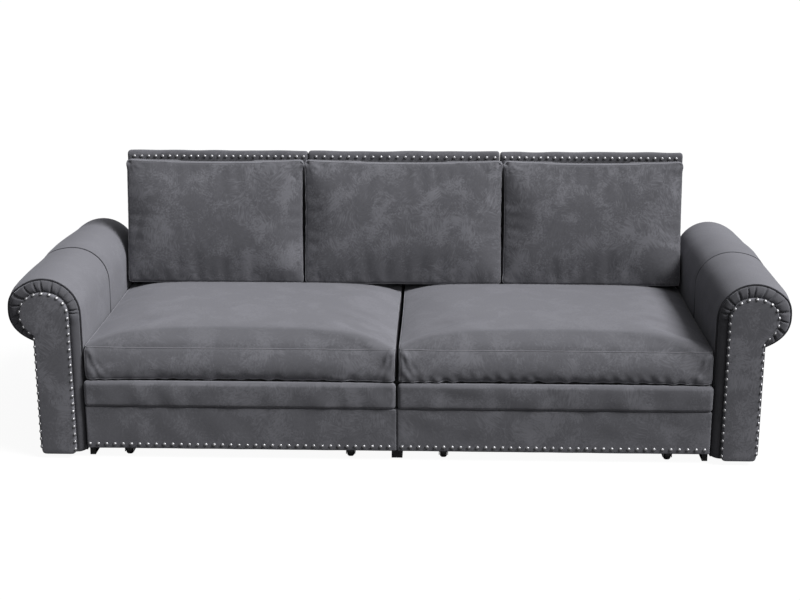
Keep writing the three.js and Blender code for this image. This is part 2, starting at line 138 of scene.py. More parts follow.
floor_finish, tree = new_material("floor_finish")
seen = add_node(tree, "ShaderNodeLightPath").outputs["Is Camera Ray"]
glow = add_node(tree, "ShaderNodeEmission", {"Strength": 1.0})
paint = sum_node(tree, "MULTIPLY_ADD", seen, floor_white - floor_bounce, floor_bounce)
matt = add_node(tree, "ShaderNodeBsdfDiffuse", {"Color": paint})
glow_share = sum_node(tree, "MULTIPLY", seen, floor_glow_share)
both = add_node(tree, "ShaderNodeMixShader", {0: glow_share, 1: matt.outputs[0], 2: glow.outputs[0]})
add_node(tree, "ShaderNodeOutputMaterial", {"Surface": both.outputs[0]})
corners = [(x * floor_half_width, y * floor_half_width, 0) for x, y in ((-1, -1), (1, -1), (1, 1), (-1, 1))]
floor = new_piece("floor", corners, [(0, 1, 2, 3)])
floor.data.materials.append(floor_finish)

# Black side boards and seat decks
# Four upright boards in black lacquer carry the seat and guide the bed units. They reach the floor,
# and the two decks under the seat cushions lie on them. The lacquer is satin, and rubbed at the foot.
lacquer_color = (0.012, 0.012, 0.013, 1)
rubbed_color = (0.06, 0.058, 0.056, 1)
rubbed_height = 0.012


def new_group(name, inputs, outputs):
    """A shader node group with named sockets. Each is a name, a socket kind and, for inputs, a value."""
    group = bpy.data.node_groups.new(name, "ShaderNodeTree")
    for label, kind, value in inputs:
        socket = group.interface.new_socket(label, in_out="INPUT", socket_type="NodeSocket" + kind)
        socket.default_value = value
    for label, kind in outputs:
        group.interface.new_socket(label, in_out="OUTPUT", socket_type="NodeSocket" + kind)
    return group, group.nodes.new("NodeGroupInput").outputs, group.nodes.new("NodeGroupOutput").inputs


def noise_node(tree, place, scale, detail=3.0, distortion=0.0, roughness=0.5):
    """A noise between 0 and 1 over a place."""
    values = {"Vector": place, "Scale": scale, "Detail": detail, "Distortion": distortion}
    values["Roughness"] = roughness
    return add_node(tree, "ShaderNodeTexNoise", values).outputs[0]


def range_node(tree, value, low, high, to_low=0.0, to_high=1.0):
    """A value taken from one range to another, with a soft start and end."""
    inputs = {0: value, 1: low, 2: high, 3: to_low, 4: to_high}
    return add_node(tree, "ShaderNodeMapRange", inputs, interpolation_type="SMOOTHSTEP").outputs[0]


def mix_node(tree, share, first, second):
    """One colour mixed into another."""
    return add_node(tree, "ShaderNodeMix", {0: share, 6: first, 7: second}, data_type="RGBA").outputs[2]


def stretched(tree, place, factors):
    """A place with each axis scaled, so that a noise over it runs long along one axis."""
    inputs = {0: place, 1: factors}
    return add_node(tree, "ShaderNodeVectorMath", inputs, operation="MULTIPLY").outputs[0]


def surface(tree, color, roughness, height, bump, bump_strength=1.0, **constants):
    """The shader of a finish: colour, roughness and a bump of the given depth in metres."""
    inputs = {"Height": height, "Distance": bump, "Strength": bump_strength}
    bumped = add_node(tree, "ShaderNodeBump", inputs).outputs[0]
    values = {"Base Color": color, "Roughness": roughness, "Normal": bumped, **constants}
    shader = add_node(tree, "ShaderNodeBsdfPrincipled", values)
    add_node(tree, "ShaderNodeOutputMaterial", {"Surface": shader.outputs[0]})


scuffs, given, made = new_group(
    "scuffs",
    [("Fineness", "Float", 60.0), ("Amount", "Float", 0.3)],
    [("Mask", "Float"), ("Grain", "Float")],
)
place = add_node(scuffs, "ShaderNodeTexCoord").outputs["Object"]
cloud = noise_node(scuffs, place, given["Fineness"], 6.0, 0.8, 0.6)
limit = sum_node(scuffs, "SUBTRACT", 0.72, sum_node(scuffs, "MULTIPLY", given["Amount"], 0.4))
upper = sum_node(scuffs, "ADD", limit, 0.16)
scuffs.links.new(range_node(scuffs, cloud, limit, upper), made["Mask"])
fine = sum_node(scuffs, "MULTIPLY", given["Fineness"], 14.0)
scuffs.links.new(noise_node(scuffs, place, fine, 2.0), made["Grain"])


def use_group(tree, group, **values):
    """A group placed in a tree, with its inputs set. Underscores in a name stand for spaces."""
    node = tree.nodes.new("ShaderNodeGroup")
    node.node_tree = group
    for key, value in values.items():
        node.inputs[key.replace("_", " ")].default_value = value
    return node.outputs


def finish_nodes(material, names):
    """Gives a finish to solids of the frame that keep their own shape."""
    for name in names:
        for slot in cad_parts[name].material_slots:
            slot.material = material


black_lacquer, tree = new_material("black_lacquer")
place = add_node(tree, "ShaderNodeTexCoord").outputs["Object"]
worn = use_group(tree, scuffs, Fineness=35.0, Amount=0.2)
height = add_node(tree, "ShaderNodeSeparateXYZ", {0: place}).outputs[2]
foot = range_node(tree, height, rubbed_height, 0.0)
rubbed = sum_node(tree, "MAXIMUM", sum_node(tree, "MULTIPLY", foot, worn["Grain"]), worn["Mask"])
color = mix_node(tree, sum_node(tree, "MULTIPLY", rubbed, 0.5), lacquer_color, rubbed_color)
gloss = range_node(tree, worn["Grain"], 0.2, 0.8, 0.38, 0.56)
surface(tree, color, gloss, worn["Grain"], 0.0002)
sides = [("left", -1), ("right", 1)]
ends = ("inner", "outer")
finish_nodes(black_lacquer, [f"side_board_{word}_{end}" for word, _ in sides for end in ends]
             + [f"seat_deck_{word}" for word, _ in sides])

# Plywood rails and platforms
# Birch plywood, sanded and left bare. The faces show long grain, and the sawn edges show the plies.
# The bed unit's rails and platform are screwed together, and one rail ties the side boards behind.
birch_color = (0.62, 0.44, 0.25, 1)
birch_dark_color = (0.42, 0.27, 0.13, 1)
ply_thickness = 0.0024

plies, given, made = new_group(
    "plies",
    [("Across", "Vector", (0, 0, 1)), ("Stretch", "Vector", (1, 1, 1)),
     ("Pale", "Color", birch_color), ("Dark", "Color", birch_dark_color)],
    [("Color", "Color"), ("Roughness", "Float"), ("Height", "Float")],
)
place = add_node(plies, "ShaderNodeTexCoord").outputs["Object"]
normal = add_node(plies, "ShaderNodeNewGeometry").outputs["Normal"]
facing = add_node(plies, "ShaderNodeVectorMath", {0: normal, 1: given["Across"]}, operation="DOT_PRODUCT")
edge = range_node(plies, sum_node(plies, "ABSOLUTE", facing.outputs["Value"]), 0.6, 0.3)
depth = add_node(plies, "ShaderNodeVectorMath", {0: place, 1: given["Across"]}, operation="DOT_PRODUCT")
turn = sum_node(plies, "MULTIPLY", depth.outputs["Value"], math.pi / ply_thickness)
layer = range_node(plies, sum_node(plies, "SINE", turn), -0.3, 0.3)
along = add_node(plies, "ShaderNodeVectorMath", {0: place, 1: given["Stretch"]}, operation="MULTIPLY")
grain = noise_node(plies, along.outputs[0], 9.0, 8.0, 0.6, 0.65)
streak = range_node(plies, grain, 0.35, 0.68)
face_share = sum_node(plies, "MULTIPLY", streak, sum_node(plies, "SUBTRACT", 1.0, edge))
edge_share = sum_node(plies, "MULTIPLY", layer, edge)
share = sum_node(plies, "ADD", sum_node(plies, "MULTIPLY", face_share, 0.6), edge_share)
plies.links.new(mix_node(plies, share, given["Pale"], given["Dark"]), made["Color"])
plies.links.new(range_node(plies, grain, 0.2, 0.8, 0.6, 0.8), made["Roughness"])
plies.links.new(sum_node(plies, "ADD", grain, edge_share), made["Height"])


def plywood(name, across, stretch):
    """Plywood whose plies lie square to one axis, with its grain along another."""
    material, tree = new_material(name)
    sheet = use_group(tree, plies, Across=across, Stretch=stretch)
    surface(tree, sheet["Color"], sheet["Roughness"], sheet["Height"], 0.0003, **{"Specular IOR Level": 0.3})
    return material


words = [word for word, _ in sides]
finish_nodes(plywood("plywood_flat", (0, 0, 1), (1, 9, 9)),
             [f"bed_platform_{word}" for word in words]
             + [f"bed_cross_rail_{word}_{end}" for word in words for end in ("front", "rear")])
finish_nodes(plywood("plywood_side", (1, 0, 0), (9, 1, 9)),
             [f"bed_side_rail_{word}_{end}" for word in words for end in ends])
finish_nodes(plywood("plywood_rear", (0, 1, 0), (1, 9, 9)), ["rear_rail"])

# Back sections
# Three upholstered slabs stand side by side behind the seat. Each is a timber frame, padded and covered
# in grey velvet with rounded edges. The velvet is a short pile, brushed into paler and darker patches.
# Its colour also carries a painted sheen: darker where a face looks straight out, paler where it is seen edge-on.
velvet_color = (0.137, 0.137, 0.152, 1)
patch_size = 0.1
sweep_size = 0.05
stroke_width = 0.006
# From face-on to edge-on the velvet's colour is scaled over this range: a painted sheen.
painted_sheen_turns = (0.3, 0.75)
painted_sheen_range = (0.735, 1.04)
section_color = (0.118, 0.118, 0.131, 1)
section_round = 0.016
section_end_round = 0.009
section_lift = 0.004
section_fall = 0.045
section_swell = 0.0012
rear_crown = 0.006
mesh_step = 0.012
round_steps = 4

brushed, given, made = new_group(
    "brushed_pile",
    [("Cloth", "Color", velvet_color), ("Patches", "Float", 0.3), ("Patch size", "Float", patch_size)],
    [("Color", "Color"), ("Roughness", "Float"), ("Height", "Float")],
)
place = add_node(brushed, "ShaderNodeTexCoord").outputs["Object"]
fineness = sum_node(brushed, "DIVIDE", 1.0, given["Patch size"])
cloud = noise_node(brushed, place, fineness, 3.0, 0.4, 0.55)
shift = add_node(brushed, "ShaderNodeTexNoise", {"Vector": place, "Scale": 30.0, "Detail": 2.0}).outputs["Color"]
warped = add_node(brushed, "ShaderNodeVectorMath", {0: shift, 1: (0.03, 0.03, 0.03), 2: place},
                  operation="MULTIPLY_ADD").outputs[0]
sweeps = add_node(brushed, "ShaderNodeTexVoronoi", {"Vector": warped, "Scale": 1 / sweep_size})
spin = stretched(brushed, sweeps.outputs["Color"], (math.pi, math.pi, math.pi))
swept = add_node(brushed, "ShaderNodeVectorRotate", {"Vector": place, "Rotation": spin},
                 rotation_type="EULER_XYZ").outputs[0]
strokes = noise_node(brushed, stretched(brushed, swept, (1.0, 0.16, 1.0)), 1 / stroke_width, 2.0, 0.3, 0.6)
nap = noise_node(brushed, place, 900.0, 2.0)
feather = sum_node(brushed, "MULTIPLY_ADD", sum_node(brushed, "SUBTRACT", strokes, 0.5), 0.5, cloud)
patch = range_node(brushed, feather, 0.42, 0.7)
level = add_node(brushed, "ShaderNodeSeparateXYZ", {0: add_node(brushed, "ShaderNodeNewGeometry").outputs["Normal"]})
flat = range_node(brushed, level.outputs[2], 0.5, 0.95, 1.0, 0.35)
shown = sum_node(brushed, "MULTIPLY", given["Patches"], flat)
tone = sum_node(brushed, "MULTIPLY", sum_node(brushed, "SUBTRACT", patch, 0.35), shown)
tone = sum_node(brushed, "MULTIPLY_ADD", sum_node(brushed, "SUBTRACT", strokes, 0.5),
                sum_node(brushed, "MULTIPLY", shown, 0.9), tone)
tone = sum_node(brushed, "ADD", sum_node(brushed, "MULTIPLY_ADD", nap, 0.12, 0.94), tone)
toned = add_node(brushed, "ShaderNodeVectorMath", {0: given["Cloth"], 3: tone}, operation="SCALE")
brushed.links.new(toned.outputs[0], made["Color"])
brushed.links.new(range_node(brushed, patch, 0.0, 1.0, 0.92, 0.8), made["Roughness"])
lift = sum_node(brushed, "MULTIPLY_ADD", nap, 0.5, sum_node(brushed, "MULTIPLY", strokes, 0.5))
brushed.links.new(lift, made["Height"])


def velvet(name, patches, cloth=velvet_color, size=patch_size, bump=0.0006):
    """Grey velvet whose brushed patches show more or less, with a painted sheen: its colour is darkened face-on and
    lightened edge-on.
    """
    material, tree = new_material(name)
    pile = use_group(tree, brushed, Cloth=cloth, Patches=patches, Patch_size=size)
    # Painted sheen: the colour is scaled by how edge-on the face is seen, darker face-on and paler at grazing view.
    edge_on = add_node(tree, "ShaderNodeLayerWeight", {"Blend": 0.5}).outputs["Facing"]
    painted_sheen = range_node(tree, edge_on, *painted_sheen_turns, *painted_sheen_range)
    color = add_node(tree, "ShaderNodeVectorMath", {0: pile["Color"], 3: painted_sheen}, operation="SCALE").outputs[0]
    sheen = {"Sheen Weight": 0.12, "Sheen Roughness": 0.45, "Sheen Tint": (0.85, 0.86, 0.95, 1)}
    sheen["Specular IOR Level"] = 0.1
    surface(tree, color, pile["Roughness"], pile["Height"], bump, 0.6, **sheen)
    return material


velvet_panel = velvet("velvet_panel", 0.36)
velvet_section = velvet("velvet_section", 0.36, section_color)


def dress(piece, material, body, slot, *nodes):
    """Gives a piece its finish and its body, and hides the solids that it stands for. Its slot is not used."""
    piece.data.materials.append(material)
    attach(piece, body)
    if nodes:
        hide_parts(*nodes)
    return piece


def arc(centre, radius, from_degrees, to_degrees, steps):
    """Points on an arc, with its first and last."""
    turns = np.radians(np.linspace(from_degrees, to_degrees, steps + 1))
    return np.array(centre) + radius * np.column_stack([np.cos(turns), np.sin(turns)])


def even(start, end, step):
    """Points from a start up to, but without, an end."""
    count = max(int(round(math.dist(start, end) / step)), 1)
    share = np.arange(count)[:, None] / count
    return np.array(start) * (1 - share) + np.array(end) * share


def ways_out(outline):
    """The way out of a closed outline that runs clockwise, at each point, long enough for an even inset."""
    steps = np.roll(outline, -1, axis=0) - outline
    steps /= np.linalg.norm(steps, axis=1, keepdims=True)
    out = np.column_stack([-steps[:, 1], steps[:, 0]])
    before = np.roll(out, 1, axis=0)
    return (out + before) / (1 + np.sum(out * before, axis=1, keepdims=True)).clip(0.5)


def rounded_stations(start, end, radius, step):
    """Places along a length, each with how far the outline is pulled in there to round both ends."""
    turns = np.radians(np.linspace(0, 90, round_steps + 1))
    near = [(start + radius * (1 - math.sin(t)), radius * (1 - math.cos(t))) for t in turns[::-1]]
    far = [(end - (place - start), inset) for place, inset in near[::-1]]
    count = max(int((end - start - 2 * radius) / step), 1)
    middle = np.linspace(start + radius, end - radius, count + 1)[1:-1]
    return near + [(place, 0.0) for place in middle] + far


def ring_faces(rings, size, capped=True):
    """Faces between closed rings of points, and one face over each end."""
    faces = []
    for ring in range(rings - 1):
        a = ring * size
        faces += [(a + i, a + (i + 1) % size, a + size + (i + 1) % size, a + size + i) for i in range(size)]
    if capped:
        faces += [tuple(range(size))[::-1], tuple(range((rings - 1) * size, rings * size))]
    return faces


def turn_outward(piece):
    """Turns a closed mesh's faces so that they point out."""
    shell = bmesh.new()
    shell.from_mesh(piece.data)
    bmesh.ops.recalc_face_normals(shell, faces=shell.faces)
    shell.to_mesh(piece.data)
    shell.free()
    return piece


def waves(points, length, seed, count=14):
    """A smooth random swell over points, mostly between -1 and 1, with waves near one length."""
    random = np.random.default_rng(seed)
    ways = random.normal(size=(count, points.shape[1]))
    ways /= np.linalg.norm(ways, axis=1, keepdims=True)
    ways *= 2 * math.pi / length * random.uniform(0.6, 1.5, (count, 1))
    return np.sin(points @ ways.T + random.uniform(0, 2 * math.pi, count)).sum(axis=1) / math.sqrt(count)


def back_section(word, seed):
    """One slab: its upright outline, run along X, with both ends rounded."""
    low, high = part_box(f"back_section_{word}")
    r = section_round
    top = high.z + section_lift
    fall = arc((0, 0), 1, 90, 0, 3 * round_steps)
    outline = np.vstack([
        even((low.y, low.z), (low.y, top - r), mesh_step),
        arc((low.y + r, top - r), r, 180, 90, round_steps)[:-1],
        (low.y + r, top - section_fall) + fall[:-1] * (high.y - low.y - r, section_fall),
        even((high.y, top - section_fall), (high.y, low.z), mesh_step),
        even((high.y, low.z), (low.y, low.z), mesh_step),
    ])
    out = ways_out(outline)
    rings = []
    for x, inset in rounded_stations(low.x, high.x, section_end_round, mesh_step):
        ring = outline - out * inset
        rings.append(np.column_stack([np.full(len(ring), x), ring]))
    points = np.vstack(rings)
    across = (points[:, 0] - low.x) / (high.x - low.x)
    upward = (points[:, 2] - low.z) / (high.z - low.z)
    rearward = ((points[:, 1] - low.y) / (high.y - low.y) - 0.5).clip(0) * 2
    crown = (4 * across * (1 - across) * 4 * upward * (1 - upward)).clip(0) ** 0.5
    points[:, 1] += rearward * rear_crown * (crown - 1)
    points[:, 1] += rearward * section_swell * waves(points, 0.25, seed)
    points[:, 2] += upward ** 8 * section_swell * waves(points[:, :2], 0.18, seed + 1)
    piece = new_piece(f"section_{word}", points, ring_faces(len(rings), len(outline)))
    return dress(turn_outward(piece), velvet_section, "root", "velvet", f"back_section_{word}")


thirds = ("left", "centre", "right")
for seed, word in enumerate(thirds):
    back_section(word, 10 + seed)

# Nail rows
# Each nail is a domed nickel-plated head on a pin, driven through the velvet into the frame.
# A head is 13 mm wide and stands 5 mm proud, and its skirt is pressed a little into the pile.
nail_radius = 0.0066
nail_rise = 0.0048
nail_sink = 0.0006
nail_sides = 20
nail_rings = 6
nickel_color = (0.36, 0.36, 0.372, 1)
nickel_dull_color = (0.27, 0.27, 0.28, 1)
back_nail_counts = {"left": 25, "centre": 23, "right": 25}
back_nail_spans = {"left": (-1.0035, -0.3726), "centre": (-0.3259, 0.3368), "right": (0.3736, 1.005)}

nickel, tree = new_material("nickel")
worn = use_group(tree, scuffs, Fineness=90.0, Amount=0.35)
color = mix_node(tree, worn["Mask"], nickel_color, nickel_dull_color)
gloss = range_node(tree, worn["Grain"], 0.2, 0.8, 0.44, 0.6)
surface(tree, color, gloss, worn["Grain"], 0.00004, **{"Metallic": 1.0})


def nail_row(name, places, outs, body, node):
    """A row of domed heads, each set on its place and facing its way out."""
    turns = np.linspace(0, 2 * math.pi, nail_sides, endpoint=False)
    falls = np.radians(np.linspace(8, 90, nail_rings))
    points, faces = [], []
    for place, out in zip(np.asarray(places), np.asarray(outs)):
        out = out / np.linalg.norm(out)
        side = np.cross(out, (0, 1, 0) if abs(out[1]) < 0.9 else (0, 0, 1))
        side /= np.linalg.norm(side)
        other = np.cross(out, side)
        ring = np.cos(turns)[:, None] * side + np.sin(turns)[:, None] * other
        first = len(points)
        for fall in falls:
            rise = nail_rise * math.cos(fall) - nail_sink
            points += list(place + ring * nail_radius * math.sin(fall) + out * rise)
        points += list(place + ring * nail_radius * 0.9 - out * 2 * nail_sink)
        points.append(place + out * (nail_rise - nail_sink))
        faces += [tuple(first + k for k in face)
                  for face in ring_faces(nail_rings + 1, nail_sides, False)]
        top = len(points) - 1
        faces += [(top, first + (i + 1) % nail_sides, first + i) for i in range(nail_sides)]
        faces.append(tuple(first + nail_rings * nail_sides + i for i in range(nail_sides)))
    piece = turn_outward(new_piece(name, points, faces))
    return dress(piece, nickel, body, "nailheads", node)


for word in thirds:
    low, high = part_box(f"back_nails_{word}")
    xs = np.linspace(*back_nail_spans[word], back_nail_counts[word])
    places = [(x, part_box(f"back_section_{word}")[0].y, (low.z + high.z) / 2) for x in xs]
    nail_row(f"nails_back_{word}", places, [(0, -1, 0)] * len(xs), "root", f"back_nails_{word}")

# Rolled arms
# Each arm is a padded timber frame, covered in velvet that runs over the roll and down both sides.
# A seam round the arm joins the cover's two lengths, and a dark welt finishes its front edge. The seam's dip holds a
# nearly black cord, painted shade.
arm_body_width = 0.158
roll_end_degrees = -58
scroll_end_degrees = -66
scroll_pull = 0.15
shoulder_share = 0.055
shoulder_degrees = 28
shoulder_width_degrees = 17
cover_bulge = 0.012
cover_bulge_degrees = 42
cover_bulge_width_degrees = 27
cover_bulge_start = 0.03
cover_bulge_ends = (0.12, 0.46)
inner_side_steps = 44
roll_steps = 64
neck_steps = 4
outer_side_steps = 34
foot_steps = 12
arm_step = 0.012
arm_end_round = 0.012
arm_swell = 0.0009
cover_seam_y = -0.004
cover_seam_depth = 0.0052
cover_seam_width = 0.0034
cover_thread_radius = 0.0034
rear_cover_swell = 0.0026
rear_cover_ease = 0.05
welt_radius = 0.0034
welt_inset = 0.001
welt_color = (0.035, 0.035, 0.04, 1)
# The arm seam's cord is nearly black: painted shade in the seam's dip.
arm_seam_shade_color = (0.014, 0.014, 0.016, 1)

velvet_arm = velvet("velvet_arm", 0.1)
velvet_welt = velvet("velvet_welt", 0.0, welt_color)
velvet_arm_seam_shade = velvet("velvet_arm_seam_shade", 0.0, arm_seam_shade_color)


def stretch(start, end, count):
    """Points from a start up to, but without, an end."""
    share = np.arange(count)[:, None] / count
    return np.array(start) * (1 - share) + np.array(end) * share


def softened(outline, rounds=2):
    """A closed outline with its corners eased."""
    for _ in range(rounds):
        outline = (np.roll(outline, 1, axis=0) + 2 * outline + np.roll(outline, -1, axis=0)) / 4
    return outline


def ease(values, start, end):
    """From 0 at a start to 1 at an end, smoothly."""
    share = ((values - start) / (end - start)).clip(0, 1)
    return share * share * (3 - 2 * share)


def keyhole(node, width, end_degrees=scroll_end_degrees, pull=scroll_pull, steps=roll_steps,
            shoulder=shoulder_share, crest_drop=0.0):
    """The outline of a roll on an upright, on the right arm, in X and Z. It closes along the foot.
    Also gives the middle of the roll, which curls in towards its end by a share of its radius. Its outer
    shoulder stands out by a share too, and its crest can drop."""
    low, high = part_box(node)
    radius = (high.x - low.x) / 2
    centre = np.array((low.x + radius, high.z - radius))
    roll = arc(centre, radius, 180, end_degrees, steps)
    turns = np.linspace(180, end_degrees, steps + 1)
    curl = pull * ease(turns, 0, end_degrees)
    square = shoulder * np.exp(-((turns - shoulder_degrees) / shoulder_width_degrees) ** 2)
    roll = centre + (roll - centre) * (1 - curl + square)[:, None]
    roll[:, 1] -= crest_drop * np.sin(np.radians(turns)).clip(0) ** 2
    side_x = low.x + width
    neck = np.array((side_x, roll[-1][1] - max(roll[-1][0] - side_x, 0)))
    outline = np.vstack([
        stretch((low.x, low.z), roll[0], inner_side_steps),
        roll[:-1],
        stretch(roll[-1], neck, neck_steps),
        stretch(neck, (side_x, low.z), outer_side_steps),
        stretch((side_x, low.z), (low.x, low.z), foot_steps),
    ])
    return softened(outline), centre


def seam_cord(name, paths, radius, material, body, closed=False):
    """A thin sewn cord that follows one path or several."""
    data = bpy.data.curves.new(name, "CURVE")
    data.dimensions = "3D"
    data.bevel_depth = radius
    data.bevel_resolution = 2
    data.use_fill_caps = True
    for path in paths:
        spline = data.splines.new("POLY")
        spline.points.add(len(path) - 1)
        spline.points.foreach_set("co", np.column_stack([path, np.ones(len(path))]).ravel())
        spline.use_cyclic_u = closed
    return dress(add_object(name, data), material, body, "velvet")


def arm_cover(word, side, seed):
    """The cover's outline run along the arm, with its seam pressed in and its rear edge rounded."""
    low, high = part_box(f"arm_{word}")
    outline, centre = keyhole("arm_right", arm_body_width)
    out = ways_out(outline)
    turn = np.degrees(np.arctan2(outline[:, 1] - centre[1], outline[:, 0] - centre[0]))
    bulge = cover_bulge * np.exp(-((turn - cover_bulge_degrees) / cover_bulge_width_degrees) ** 2)
    near_seam = cover_seam_y + np.linspace(-3, 3, 17) * cover_seam_width
    front_part = np.arange(low.y + welt_radius, near_seam[0] - arm_step / 2, arm_step)
    rear_part = np.arange(near_seam[-1] + arm_step / 2, high.y - arm_end_round - arm_step / 2, arm_step)
    turns = np.radians(np.linspace(0, 90, round_steps + 1))
    stations = [(y, 0.0) for y in (low.y, *front_part, *near_seam, *rear_part)]
    stations += [(high.y - arm_end_round * (1 - math.sin(t)), arm_end_round * (1 - math.cos(t))) for t in turns]
    rings = []
    for y, inset in stations:
        inset += cover_seam_depth * math.exp(-((y - cover_seam_y) / cover_seam_width) ** 2)
        rise = rear_cover_swell * ease(outline[:, 1], 0.36, 0.5) * ease(
            np.array(y), cover_seam_y, cover_seam_y + rear_cover_ease)
        full = 1 - math.exp((low.y - y) / cover_bulge_start) - ease(np.array(y), *cover_bulge_ends)
        ring = outline + out * (rise - inset + bulge * full)[:, None]
        rings.append(np.column_stack([side * ring[:, 0], np.full(len(ring), y), ring[:, 1]]))
    points = np.vstack(rings)
    ripple = arm_swell * waves(points, 0.22, seed)
    points += np.column_stack([side * out[:, 0], np.zeros(len(out)), out[:, 1]])[
        np.arange(len(points)) % len(out)] * ripple[:, None]
    piece = new_piece(f"arm_cover_{word}", points, ring_faces(len(rings), len(outline)))
    dress(turn_outward(piece), velvet_arm, "root", "velvet", f"arm_{word}")
    edge = (outline - out * welt_inset)[:-foot_steps]
    welt = np.column_stack([side * edge[:, 0], np.full(len(edge), low.y), edge[:, 1]])
    seam_cord(f"arm_welt_{word}", [welt], welt_radius, velvet_welt, "root")
    # The seam cord is coloured nearly black: painted shade in the seam's dip.
    edge = (outline + out * (bulge - cover_seam_depth + 0.75 * cover_thread_radius)[:, None])[:-foot_steps]
    thread = np.column_stack([side * edge[:, 0], np.full(len(edge), cover_seam_y), edge[:, 1]])
    seam_cord(f"arm_seam_{word}", [thread], cover_thread_radius, velvet_arm_seam_shade, "root")


for seed, (word, side) in enumerate(sides):
    arm_cover(word, side, 20 + seed)

# Padded arm fronts
# A roll of wadding runs round the front of each arm, under velvet that is plain along the upright
# and gathered into about a dozen pleats over the roll. Its outer edge is sewn under the welt.
front_band_depth = 0.0195
front_band_steps = 16
front_band_reach = 1.3
pad_body_width = 0.152
pleat_degrees = (183, 172, 156, 139, 121, 103, 86, 68, 50, 31, 12, -8, -27, -44)
pleat_steps = 200
pleat_width_degrees = 1.7
pleat_depth = 0.009
pleat_swell = 0.003
plaque_body_width = 0.114
plaque_crest_drop = 0.006
# The band's velvet is a darker copy of the arm velvet: painted shade over its upward faces.
band_painted_shade_color = (0.09, 0.09, 0.1, 1)

velvet_band_painted_shade = velvet("velvet_band_painted_shade", 0.1, band_painted_shade_color)


def front_band(word, side, seed):
    """The band between the welt and the plaque, pulled in along each pleat."""
    low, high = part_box(f"arm_front_pad_{word}")
    outer, _ = keyhole("arm_front_pad_right", pad_body_width, steps=pleat_steps)
    inner, centre = keyhole("arm_plaque_right", plaque_body_width, roll_end_degrees, 0, pleat_steps,
                            0, plaque_crest_drop)
    turn = np.degrees(np.arctan2(outer[:, 1] - centre[1], outer[:, 0] - centre[0]))
    turn = np.where(turn < -90, turn + 360, turn)
    on_roll = np.zeros(len(outer))
    on_roll[inner_side_steps - 2:inner_side_steps + pleat_steps + 2] = 1
    random = np.random.default_rng(seed)
    valley = np.zeros(len(outer))
    for middle in pleat_degrees:
        width = pleat_width_degrees * random.uniform(0.7, 1.5)
        strength = random.uniform(0.55, 1.0)
        offset = turn - middle - random.uniform(-3, 3)
        valley = np.maximum(valley, strength * np.exp(-(offset / width) ** 2))
    valley *= on_roll
    rings = []
    for t in np.linspace(0, front_band_reach, front_band_steps):
        flat = outer * (1 - t) + inner * t
        depth = front_band_depth * math.sin(math.pi * 0.72 * min(t, front_band_reach)) ** 0.6 if t else 0.0
        pinch = math.sin(math.pi * min(t / 1.1, 1) ** 0.8) ** 0.7
        lobe = pleat_swell * on_roll * (1 - valley) - pleat_depth * valley
        y = high.y - np.maximum(depth + pinch * lobe * (t > 0), 0)
        z = flat[:, 1].copy()
        z[-foot_steps:] += 0.004 * t
        rings.append(np.column_stack([side * flat[:, 0], y, z]))
    piece = new_piece(f"arm_front_band_{word}", np.vstack(rings), ring_faces(len(rings), len(outer)))
    dress(turn_outward(piece), velvet_band_painted_shade, "root", "velvet", f"arm_front_pad_{word}")


for seed, (word, side) in enumerate(sides):
    front_band(word, side, 30 + seed)

# Arm plaques
# A keyhole board covered in velvet closes each arm front. Its cover is pulled round to the sides,
# and nails along the side band hold it.
plaque_edge_round = 0.0045
plaque_crown = 0.0016
plaque_face_share = (0.06, 0.14, 0.25, 0.38, 0.52, 0.66)
plaque_spine_rise = 0.03
plaque_spine_ease = 0.1
plaque_nail_pitch = 0.0268
plaque_nail_end = 0.014
plaque_nail_lean = 0.5
plaque_nail_depth = 0.0042


def plaque(word, side):
    """The board's outline, its rounded front edge, and a face that is slightly crowned."""
    low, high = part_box(f"arm_plaque_{word}")
    outline, centre = keyhole("arm_plaque_right", plaque_body_width, roll_end_degrees, 0,
                              shoulder=0, crest_drop=plaque_crest_drop)
    out = ways_out(outline)
    inner_x = min(outline[:, 0])
    upright_x = inner_x + plaque_body_width / 2
    lean = ease(outline[:, 1], centre[1] - plaque_spine_ease, centre[1])
    spine = np.column_stack([
        upright_x + (centre[0] - upright_x) * lean,
        outline[:, 1].clip(low.z + plaque_spine_rise, centre[1]),
    ])
    rings = []

    def add_ring(flat, y):
        rings.append(np.column_stack([side * flat[:, 0], np.full(len(flat), y), flat[:, 1]]))

    r = plaque_edge_round
    for y in np.linspace(high.y, low.y + r + plaque_crown, 5):
        add_ring(outline, y)
    for t in np.radians(np.linspace(0, 90, round_steps + 1)[1:]):
        add_ring(outline - out * r * (1 - math.cos(t)), low.y + plaque_crown + r * (1 - math.sin(t)))
    face = outline - out * r
    for share in plaque_face_share:
        add_ring(face * (1 - share) + spine * share, low.y + plaque_crown * (1 - share) ** 3)
    piece = new_piece(f"plaque_{word}", np.vstack(rings), ring_faces(len(rings), len(outline)))
    dress(turn_outward(piece), velvet_panel, "root", "velvet", f"arm_plaque_{word}")

    path = outline[:-foot_steps]
    lengths = np.concatenate([[0], np.cumsum(np.linalg.norm(np.diff(path, axis=0), axis=1))])
    count = int(round((lengths[-1] - 2 * plaque_nail_end) / plaque_nail_pitch)) + 1
    spots = np.linspace(plaque_nail_end, lengths[-1] - plaque_nail_end, count)
    xs, zs = (np.interp(spots, lengths, path[:, k]) for k in (0, 1))
    outs = [np.interp(spots, lengths, out[:-foot_steps, k]) for k in (0, 1)]
    ys = np.full(count, low.y + plaque_nail_depth)
    places = np.column_stack([side * xs, ys, zs])
    ways = np.column_stack([side * outs[0], np.full(count, -plaque_nail_lean), outs[1]])
    nail_row(f"nails_arm_{word}", places, ways, "root", f"arm_nails_{word}")


for word, side in sides:
    plaque(word, side)

